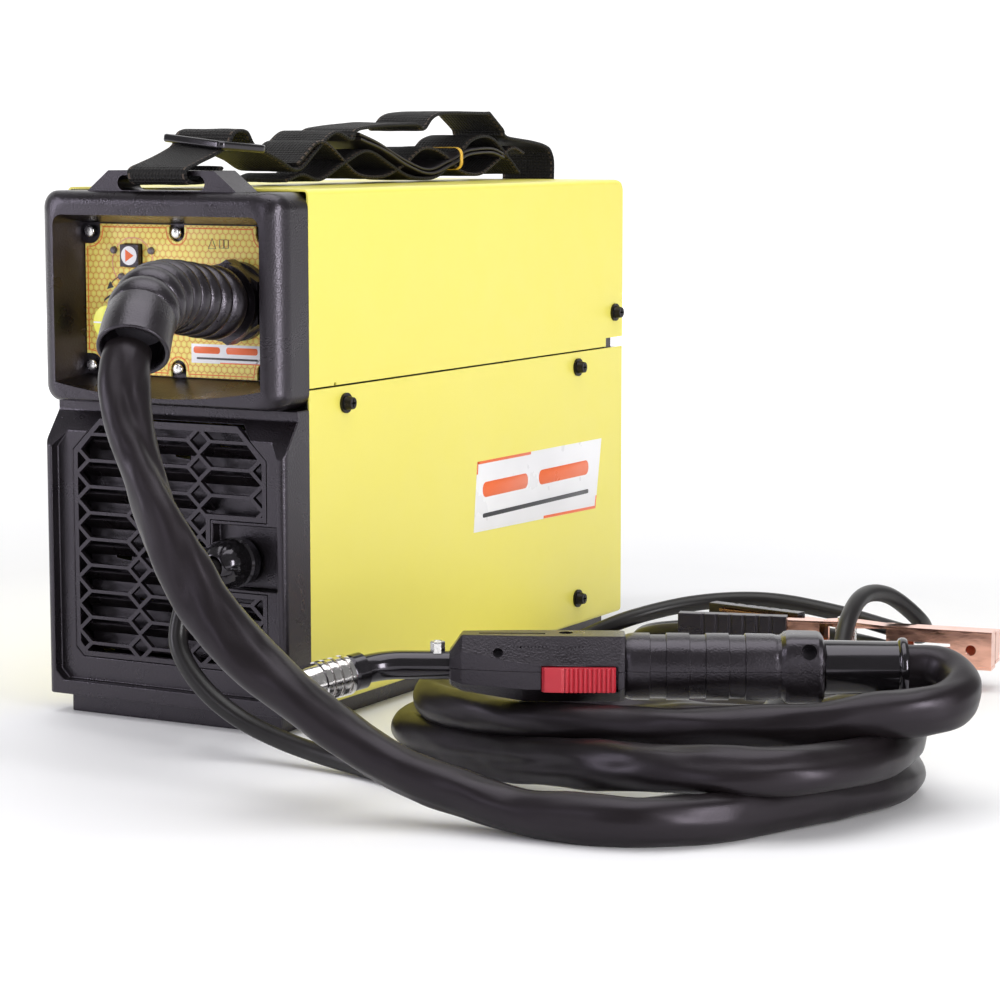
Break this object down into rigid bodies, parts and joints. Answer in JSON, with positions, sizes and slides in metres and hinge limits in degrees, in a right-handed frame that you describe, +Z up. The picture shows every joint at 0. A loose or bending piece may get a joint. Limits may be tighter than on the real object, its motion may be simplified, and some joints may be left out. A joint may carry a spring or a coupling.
{
  "type": "mig welding machine",
  "caption": "Portable wire-feed welder: steel case with a moulded front, hinged cover over spool and feeder, hand torch on a sleeved cable, earth clamp and shoulder strap.",
  "frame": {"origin": "on the floor, under the middle of the steel case", "axes": "+Z up, the front panel faces -Y, the torch and the clamp lie on the +X side"},
  "size_m": [0.5342, 0.5756, 0.3305],
  "materials": {
    "yellow_paint": "satin powder coat",
    "black_plastic": "fine texture",
    "dark_gloss_plastic": "semi gloss",
    "panel_print": "printed overlay",
    "knob_yellow": "satin",
    "led_grey": "translucent",
    "bright_steel": "bright zinc",
    "grey_sheet": "zinc plated sheet",
    "black_steel": "black oxide",
    "board_green": "circuit board",
    "aluminium": "extruded",
    "ferrite": "sintered",
    "capacitor_blue": "sleeve",
    "brass": "turned",
    "motor_grey": "satin",
    "red_plastic": "satin",
    "wire_copper": "copper coated wire",
    "copper_plate": "copper plated steel",
    "chrome": "polished",
    "cable_rubber": "satin sheath",
    "webbing": "woven",
    "band_yellow": "soft"
  },
  "bodies": {
    "machine": {"base_skid": "black_plastic", "lower_cover": "yellow_paint", "front_housing": "black_plastic", "front_grille": "black_plastic", "front_bezel": "black_plastic", "strap_lugs": "black_plastic", "control_panel": "panel_print", "panel_screws": "bright_steel", "indicator_leds": "led_grey", "control_board": "board_green", "connector_nut": "black_plastic", "bend_relief": "cable_rubber", "earth_gland": "dark_gloss_plastic", "mains_gland": "dark_gloss_plastic", "gas_inlet": "brass", "feeder_deck": "grey_sheet", "divider": "grey_sheet", "rear_panel": "black_plastic", "rear_grille": "black_plastic", "cover_screws": "black_steel", "power_tray": "grey_sheet", "power_board": "board_green", "heat_sinks": "aluminium", "transformer": "ferrite", "capacitors": "capacitor_blue", "fan_frame": "black_plastic", "feed_motor": "motor_grey", "feed_plate": "dark_gloss_plastic", "wire_guides": "brass", "spool_hub": "dark_gloss_plastic", "feed_wire": "wire_copper", "torch_handle_top": "black_plastic", "torch_handle_bottom": "black_plastic", "torch_neck": "dark_gloss_plastic", "torch_nozzle": "chrome", "contact_tip": "copper_plate", "torch_tail": "cable_rubber", "clamp_lower_jaw": "copper_plate", "clamp_lower_grip": "black_plastic", "clamp_pin": "bright_steel", "clamp_spring": "bright_steel", "torch_cable": "cable_rubber", "earth_cable": "cable_rubber"},
    "upper_cover": {"upper_cover": "yellow_paint", "strap": "webbing", "strap_buckle": "dark_gloss_plastic", "strap_band": "band_yellow"},
    "current_knob": {"current_knob": "knob_yellow"},
    "push_button": {"push_button": "black_plastic"},
    "power_switch": {"power_switch": "dark_gloss_plastic"},
    "fan_rotor": {"fan_rotor": "black_plastic"},
    "wire_spool": {"wire_spool": "black_plastic", "wire_winding": "wire_copper"},
    "drive_roll": {"drive_roll": "bright_steel"},
    "pressure_arm": {"pressure_arm": "motor_grey"},
    "pressure_roll": {"pressure_roll": "bright_steel"},
    "tension_knob": {"tension_knob": "red_plastic"},
    "torch_trigger": {"torch_trigger": "red_plastic"},
    "clamp_upper": {"clamp_upper_jaw": "copper_plate", "clamp_upper_grip": "black_plastic"}
  },
  "joints": [
    {"name": "upper_cover_hinge", "type": "hinge", "parent": "machine", "child": "upper_cover", "pos_m": [0, 0.1736, 0.2046], "axis": [-1, 0, 0], "range_deg": [0, 70], "deforming": ["strap"]},
    {"name": "current_knob_turn", "type": "hinge", "parent": "machine", "child": "current_knob", "pos_m": [-0.038, -0.193, 0.216], "axis": [0, -1, 0], "range_deg": [-140, 140]},
    {"name": "push_button_press", "type": "slide", "parent": "machine", "child": "push_button", "axis": [0, 1, 0], "range_m": [0, 0.0012], "stiffness_N_per_m": 400},
    {"name": "power_switch_rock", "type": "hinge", "parent": "machine", "child": "power_switch", "pos_m": [-0.055, 0.1715, 0.211], "axis": [1, 0, 0], "range_deg": [0, 16]},
    {"name": "fan_spin", "type": "hinge", "parent": "machine", "child": "fan_rotor", "pos_m": [0, 0.17, 0.084], "axis": [0, 1, 0], "continuous": true},
    {"name": "wire_spool_spin", "type": "hinge", "parent": "machine", "child": "wire_spool", "pos_m": [0.0365, 0.092, 0.226], "axis": [1, 0, 0], "continuous": true},
    {"name": "drive_roll_spin", "type": "hinge", "parent": "machine", "child": "drive_roll", "pos_m": [0.04, -0.095, 0.21395], "axis": [1, 0, 0], "continuous": true},
    {"name": "pressure_arm_lift", "type": "hinge", "parent": "machine", "child": "pressure_arm", "pos_m": [0.03, -0.06, 0.251], "axis": [-1, 0, 0], "range_deg": [0, 15]},
    {"name": "pressure_roll_spin", "type": "hinge", "parent": "pressure_arm", "child": "pressure_roll", "pos_m": [0.04, -0.095, 0.24055], "axis": [1, 0, 0], "continuous": true},
    {"name": "tension_knob_turn", "type": "hinge", "parent": "pressure_arm", "child": "tension_knob", "pos_m": [0.04, -0.126, 0.2522], "axis": [0, 0, 1], "range_deg": [-360, 360]},
    {"name": "torch_trigger_squeeze", "type": "hinge", "parent": "machine", "child": "torch_trigger", "pos_m": [0.28769, -0.24926, 0.059], "axis": [0, 0, -1], "range_deg": [0, 5], "stiffness_Nm_per_rad": 2},
    {"name": "clamp_open", "type": "hinge", "parent": "machine", "child": "clamp_upper", "pos_m": [0.272, 0.09, 0.024], "axis": [0, 0, 1], "range_deg": [0, 12], "stiffness_Nm_per_rad": 3, "springref_deg": -5.73}
  ],
  "couplings": [
    {"joint": "drive_roll_spin", "follows": "wire_spool_spin", "ratio": 2.8},
    {"joint": "pressure_roll_spin", "follows": "wire_spool_spin", "ratio": -3.8182}
  ]
}
